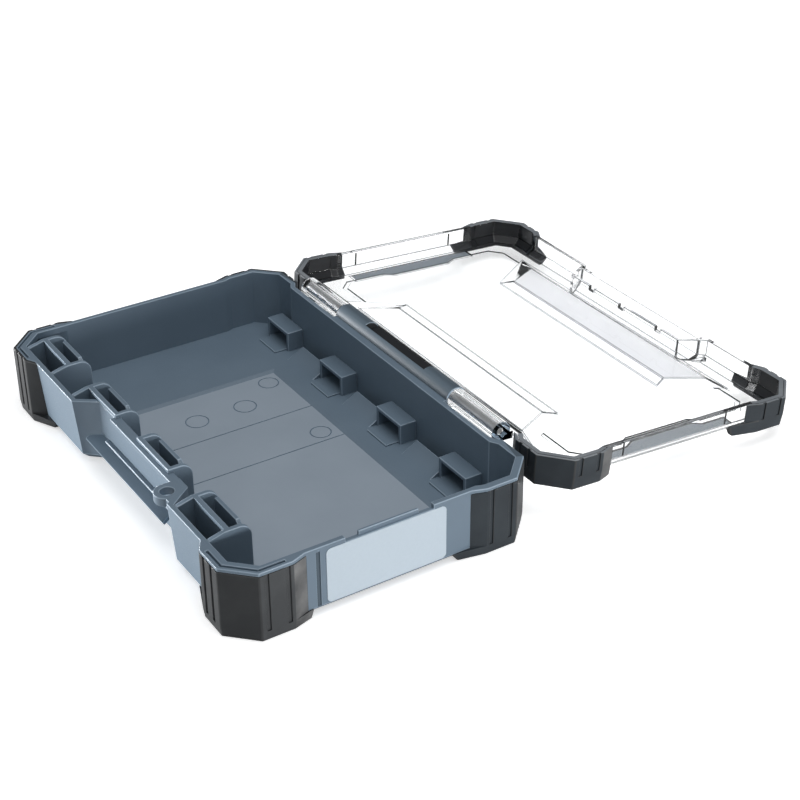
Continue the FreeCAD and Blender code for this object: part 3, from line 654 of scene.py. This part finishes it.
def on_sleeve(middle, normal):
    """The round of the hinge sleeve, without its ends."""
    return math.hypot(middle.y, middle.z - HINGE.z) < SLEEVE_REACH and abs(normal.x) < ACROSS


def in_slot(middle, normal):
    """The floor and the walls of the slot in the hinge sleeve."""
    across = middle.z > SLOT_Z - NEAR and middle.y > SLOT_FRONT - NEAR
    return across and abs(middle.x) < SLOT_HALF + NEAR


def in_wall_groove(middle, normal):
    """The groove in the right-hand wall, in front of the label."""
    return abs(middle.x - GROOVE_X) < NEAR and GROOVE_FRONT < middle.y < GROOVE_REAR


# Painted sheen on the panel; painted shade on the sleeve, in the slot and in the wall's groove.
print("panel faces", paint(tray, panel_sheen_finish, on_panel))
print("sleeve faces", paint(tray, sleeve_and_groove_shade_finish, on_sleeve, rounds=True))
print("slot faces", paint(tray, slot_shade_finish, in_slot))
print("wall groove faces", paint(tray, sleeve_and_groove_shade_finish, in_wall_groove))

# %% [markdown]
# ## Rubber corners
# Eight rubber corners guard the tray and the lid.  They could share one mesh that is mirrored, but the
# tray's left and right ones differ in their rims, so each is a copy of its own solid.  The tray's front
# corners keep the warmer tone, and the other six take a cooler, bluer tone of painted shade.

# %% Rubber corners
CORNERS = ("front_left", "front_right", "rear_left", "rear_right")
RUBBER_ROUND = 0.5 * MM
rubber_finishes = (
    rubber_edge_wear_and_highlight_finish, rubber_inner_shade_finish, rubber_painted_highlight_finish, rubber_rim_highlight_finish, rubber_painted_light_finish
)
# The tray's front corners take the warmer rubber; the other six the cooler tone of painted shade.
for corner in CORNERS:
    for body in ("tray", "lid"):
        warm_tone = body == "tray" and corner.startswith("front")
        finishes = (rubber_finish if warm_tone else rubber_cool_shade_finish, *rubber_finishes)
        bumper = "%s_bumper_%s" % (body, corner)
        shown_copy(bumper, body, RUBBER_ROUND, finishes, segments=3)
print("rubber corners", sum("_bumper_" in name for name in shown))

# %% [markdown]
# ## Painted light and shade on the rubber
# The rims of the lid's corners get a painted highlight, the faces that look into the lid get painted
# shade, and faces of the right-hand corners that turn to the right get painted light and a painted
# highlight.  The lid lies open, so its heights are hard to name there.  A turn about the hinge takes each
# point to where it lies when the lid is closed, and the tests use that.

# %% A point of the lid when it is closed
OPEN_ANGLE = math.radians(183.9)
close = Matrix.Rotation(OPEN_ANGLE, 3, "X")


def closed(point):
    """Where a point of the open lid lies when the lid is closed."""
    return close @ (point - HINGE) + HINGE


far_corner = Vector(cad_box[1])
print("far corner of the open lid", in_mm([far_corner]), "closed", in_mm([closed(far_corner)]))

# %% Inner faces, rims and right-hand faces: painted shade and light
LID_MIDDLE_Y = 74 * MM
RIM_Z = 32.9 * MM
LOOKS_IN, LOOKS_UP = -0.2, 0.6
SLANT_LEAST_X, SLANT_LEAST_Y, SLANT_MOST_Y = 0.85, 0.2, 0.5
PAINTED_LIGHT_SHARES = {"front_right": (0.9, 1.1), "rear_right": (0.45, 0.9)}


def turned_in(middle, normal):
    """The faces of the lid that look towards its middle."""
    outward = Vector((middle.x, middle.y - LID_MIDDLE_Y, 0)).normalized()
    return normal.dot(outward) < LOOKS_IN


def turned_up(middle, normal):
    """The rims of the open lid, with their rounds."""
    return normal.z > LOOKS_UP and closed(middle).z < RIM_Z


def on_right(least, most):
    """A test for the upright faces that look to the right by a share between two limits."""
    return lambda middle, normal: least < normal.x < most and abs(normal.z) < ACROSS


def turned_right(middle, normal):
    """The slanted faces at the end of a right-hand corner."""
    return normal.x > SLANT_LEAST_X and SLANT_LEAST_Y < normal.y < SLANT_MOST_Y


# Painted shade on the faces that look into the lid, and a painted highlight on the rims.
for corner in CORNERS:
    bumper = shown["lid_bumper_" + corner]
    print(corner, "inner faces", paint(bumper, rubber_inner_shade_finish, turned_in))
    print(corner, "rim faces", paint(bumper, rubber_rim_highlight_finish, turned_up, rounds=True))
# Painted light on the right-hand corners' faces that look to the right.
for corner, shares in PAINTED_LIGHT_SHARES.items():
    painted_light = paint(shown["tray_bumper_" + corner], rubber_painted_light_finish, on_right(*shares))
    print(corner, "dusty faces", painted_light)
# A painted highlight on the slanted faces turned to the right and rear.
for name in ("tray_bumper_front_right", "lid_bumper_rear_right"):
    print(name, "painted_highlight faces", paint(shown[name], rubber_painted_highlight_finish, turned_right))

# %% [markdown]
# ## Lid
# The lid is one clear moulding with a panel, walls, pads and two knuckles.  Its edges are what one sees,
# so inner edges are rounded as well as outer ones, down to slight turns.  The knuckles are round already
# and their facets would count as sharp edges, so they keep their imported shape.

# %% Lid
LID_ROUND = 0.3 * MM
KNUCKLE_REACH = 9 * MM


def clear_of_knuckles(edge, middle):
    """The lid's edges are rounded except at the hinge."""
    return abs(middle.y) > KNUCKLE_REACH


lid_finishes = (
    clear_finish, clear_edge_shade_finish, frosted_finish, smoked_finish, rubber_inner_shade_finish, rubber_rim_highlight_finish
)
lid = shown_copy(
    "lid_shell", "lid", LID_ROUND, lid_finishes,
    angle=3, crease=2, takes_round=clear_of_knuckles,
)
print("finishes of the lid", [material.name for material in lid.data.materials])

# %% [markdown]
# ## Pads and lined corners of the lid
# The front pad is frosted and the hollows at the sides are smoked.  Rubber lines the lid's corners inside
# and covers their rims.  A thin rubber shell could be modelled there, but it adds no visible form, so the
# faces that it covers take the rubber's tones: near black by painted shade inside, and pale by a painted
# highlight on the rims.

# %% Pads and lined corners
PAD_Z, SIDE_PAD_Z = 44.0 * MM, 44.4 * MM
DEAD_LEVEL, NOT_FLAT = 0.9999, 0.8
PANEL_INSIDE = 43.1 * MM
CORNER_X, CORNER_REACH = 84.0 * MM, 41.9 * MM


def outside_at(height, reach):
    """A test for the closed lid's outer faces at a height over the foot plane and up to a reach in Y."""
    def fits(middle, normal):
        place = closed(middle)
        return (close @ normal).z > DEAD_LEVEL and abs(place.z - height) < NEAR and place.y < reach
    return fits


def at_corner(place):
    """Whether a place on the closed lid is in one of its rubber corners."""
    return abs(place.x) > CORNER_X and abs(place.y + LID_MIDDLE_Y) > CORNER_REACH


def in_corner(middle, normal):
    """The upright and slanted faces inside the lid's corners, which the rubber lines."""
    place = closed(middle)
    lined = at_corner(place) and place.z < PANEL_INSIDE
    return lined and turned_in(middle, normal) and abs(normal.z) < NOT_FLAT


def on_corner_rim(middle, normal):
    """The lid's rim inside the rubber corners, which the rubber covers."""
    return at_corner(closed(middle)) and turned_up(middle, normal)


print("front pad faces", paint(lid, frosted_finish, outside_at(PAD_Z, -LID_MIDDLE_Y)))
print("side pad faces", paint(lid, smoked_finish, outside_at(SIDE_PAD_Z, 0)))
# Inside the lid's corners the rubber's near black is painted shade; on their rims its paleness is a
# painted highlight.
print("lined corner faces", paint(lid, rubber_inner_shade_finish, in_corner))
print("lined rim faces", paint(lid, rubber_rim_highlight_finish, on_corner_rim, rounds=True))

# %% [markdown]
# ## Ribs on the lid's side walls
# Two thin upright ribs stand inside each side wall of the lid.  They could be cut from cylinders, but a
# half-round outline at two heights, joined by sides, gives the same form with nine clean faces.  It is
# drawn on the closed lid, where up is up, and turned back to the open one.

# %% Ribs on the lid's side walls
RIB_PLACES = (-43.3 * MM, -100.8 * MM)
RIB_RADIUS, RIB_POINTS = 0.45 * MM, 7
RIB_LOW, RIB_HIGH = 33.5 * MM, 40.0 * MM
WALL_INSIDE = 107.8 * MM


def opened(point):
    """Where a point of the closed lid lies when the lid is open."""
    return close.transposed() @ (point - HINGE) + HINGE


def wall_rib(name, side, place):
    """A half-round upright rib on the inside of a side wall of the lid."""
    turns = [math.pi * step / (RIB_POINTS - 1) for step in range(RIB_POINTS)]
    plan = [(WALL_INSIDE - RIB_RADIUS * math.sin(t), place + RIB_RADIUS * math.cos(t)) for t in turns]
    work = bmesh.new()
    foot, top = (
        [work.verts.new(opened(Vector((side * x, y, height)))) for x, y in plan]
        for height in (RIB_LOW, RIB_HIGH)
    )
    work.faces.new(foot)
    work.faces.new(top)
    for this in range(RIB_POINTS):
        following = (this + 1) % RIB_POINTS
        work.faces.new((foot[this], foot[following], top[following], top[this]))
    bmesh.ops.recalc_face_normals(work, faces=work.faces)
    mesh = bpy.data.meshes.new(name)
    work.to_mesh(mesh)
    work.free()
    mesh.materials.append(clear_edge_shade_finish)
    rib = bpy.data.objects.new(name, mesh)
    scene.collection.objects.link(rib)
    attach(rib, "lid")
    return rib


# The ribs take the edges' dark tint of painted shade.
ribs = [
    wall_rib("lid_wall_rib_%s_%d" % (word, number), side, place)
    for word, side in (("left", -1), ("right", 1))
    for number, place in enumerate(RIB_PLACES, 1)
]
print("ribs", len(ribs), "with faces", [len(rib.data.polygons) for rib in ribs])

# %% [markdown]
# ## Pins and label
# The two hinge pins are plain wire and the label is a thin sheet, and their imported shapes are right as
# they are.  Copies would add nothing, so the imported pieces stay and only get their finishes.

# %% Pins and label
for name, material in (
    ("hinge_pin_left", steel_finish), ("hinge_pin_right", steel_finish), ("side_label", paper_finish)
):
    nodes[name].data.materials.clear()
    nodes[name].data.materials.append(material)
    print(name, "has", material.name)
